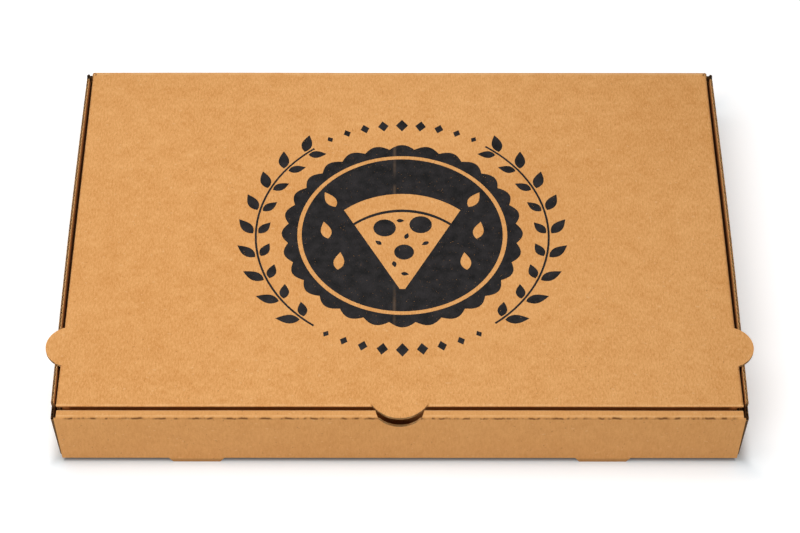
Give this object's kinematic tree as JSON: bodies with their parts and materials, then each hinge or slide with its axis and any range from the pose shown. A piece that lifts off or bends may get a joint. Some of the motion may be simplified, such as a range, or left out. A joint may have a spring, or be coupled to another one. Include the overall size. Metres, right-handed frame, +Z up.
{
  "type": "pizza box",
  "caption": "Shallow corrugated board pizza box folded from one sheet, with a hinged lid, thumb tabs and a rolled-over front wall.",
  "frame": {"origin": "under the middle of the box, at the level of the undersides of its two front feet", "axes": "+X to the right along the front, +Y from the front to the hinge, +Z up"},
  "size_m": [0.4134, 0.2764, 0.0427],
  "materials": {
    "tray_board": "matt kraft liner",
    "lid_board": "matt kraft liner with a dark one-colour print"
  },
  "bodies": {
    "tray": {"tray": "tray_board"},
    "lid": {"lid": "lid_board"}
  },
  "joints": [
    {"name": "lid_hinge", "type": "hinge", "parent": "tray", "child": "lid", "pos_m": [0, 0.13781, 0.04226], "axis": [-1, 0, 0], "range_deg": [0, 180]}
  ]
}
